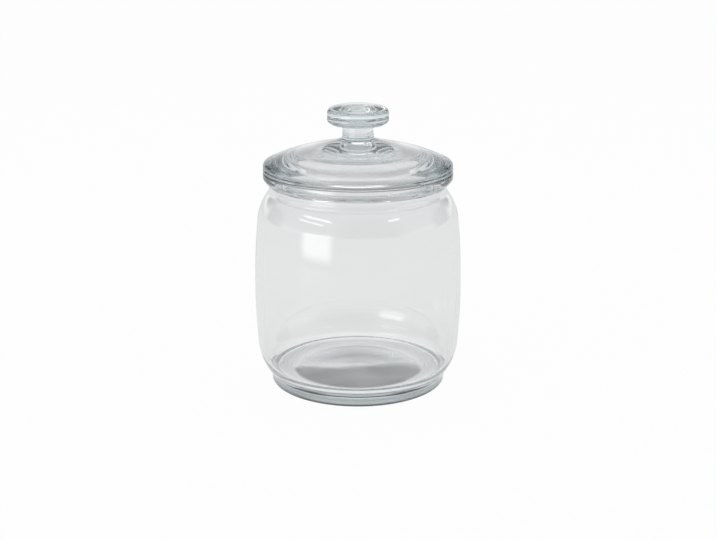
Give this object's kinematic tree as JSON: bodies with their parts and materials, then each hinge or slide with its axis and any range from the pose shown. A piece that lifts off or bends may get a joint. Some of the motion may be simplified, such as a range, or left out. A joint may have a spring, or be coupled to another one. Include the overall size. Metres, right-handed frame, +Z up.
{
  "type": "glass storage jar with lid",
  "caption": "Barrel-shaped clear glass storage jar with a domed, knobbed glass lid and a clear sealing ring; stands on its foot and keeps dry food.",
  "frame": {"origin": "centre of the foot's bearing ring, on the surface the jar stands on", "axes": "+Z up along the axis of the jar, the lid and the knob; X and Y lie in the surface it stands on"},
  "size_m": [0.14, 0.14, 0.1897],
  "materials": {
    "clear_glass": "clear pressed soda-lime glass, fire polished",
    "lid_glass": "thick clear pressed soda-lime glass with a faint blue-green edge tint",
    "clear_seal": "translucent soft plastic"
  },
  "bodies": {
    "root": {"jar": "clear_glass", "lid": "lid_glass", "seal": "clear_seal"}
  },
  "joints": []
}
